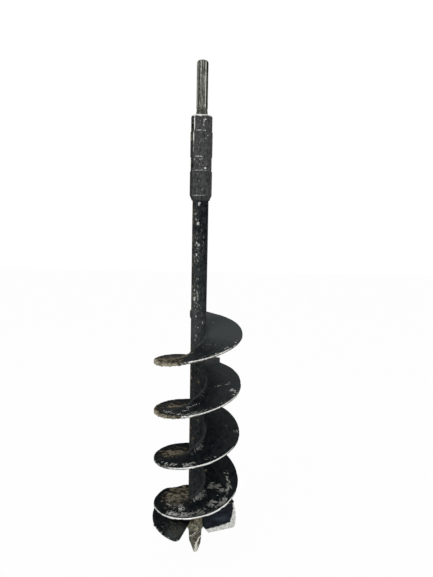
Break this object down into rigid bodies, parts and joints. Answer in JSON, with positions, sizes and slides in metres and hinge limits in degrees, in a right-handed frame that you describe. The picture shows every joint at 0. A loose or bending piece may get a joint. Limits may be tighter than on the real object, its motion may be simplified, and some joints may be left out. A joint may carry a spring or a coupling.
{
  "type": "earth auger",
  "caption": "Earth auger for a hammer drill: slotted shank, pinned coupling, centre tube with a helical flight, cutter blades and a twisted pilot point for boring planting and post holes.",
  "frame": {"origin": "on the auger's axis, at the shoulder where the drive shank leaves the coupling's top face", "axes": "+Z along the axis, up towards the drill; -Y is the side that faces the viewer"},
  "size_m": [0.1517, 0.1513, 0.8449],
  "materials": {
    "black_paint": "worn semi-gloss black paint over steel, scraped bright along the rims",
    "bare_steel": "bare steel, dull and slightly stained",
    "worn_steel": "bright worn pin ends",
    "blade_steel": "black paint worn to pale bare steel along the cutting edges",
    "weld_bead": "painted weld beads, dulled by soil"
  },
  "bodies": {
    "auger": {"drive_shank": "bare_steel", "shank_head": "black_paint", "coupling_adapter": "black_paint", "tube_socket": "black_paint", "centre_tube": "black_paint", "socket_weld": "weld_bead", "flight_turn_1": "black_paint", "flight_turn_2": "black_paint", "flight_turn_3": "black_paint", "flight_turn_4": "black_paint", "flight_tail": "black_paint", "flight_weld_1": "weld_bead", "flight_weld_2": "weld_bead", "flight_weld_3": "weld_bead", "flight_weld_4": "weld_bead", "tail_weld": "weld_bead", "seam_welds": "weld_bead", "balance_wing": "black_paint", "wing_weld": "weld_bead", "main_blade": "blade_steel", "balance_blade": "blade_steel", "main_blade_weld": "weld_bead", "balance_blade_weld": "weld_bead", "pilot_point": "bare_steel", "pilot_weld": "weld_bead"},
    "upper_pin": {"upper_lock_pin": "worn_steel"},
    "lower_pin": {"lower_lock_pin": "worn_steel"}
  },
  "joints": [
    {"name": "upper_pin_slide", "type": "slide", "parent": "auger", "child": "upper_pin", "axis": [-0.8572, -0.515, 0], "range_m": [0, 0.028]},
    {"name": "lower_pin_slide", "type": "slide", "parent": "auger", "child": "lower_pin", "axis": [-0.8572, -0.515, 0], "range_m": [0, 0.028]}
  ]
}
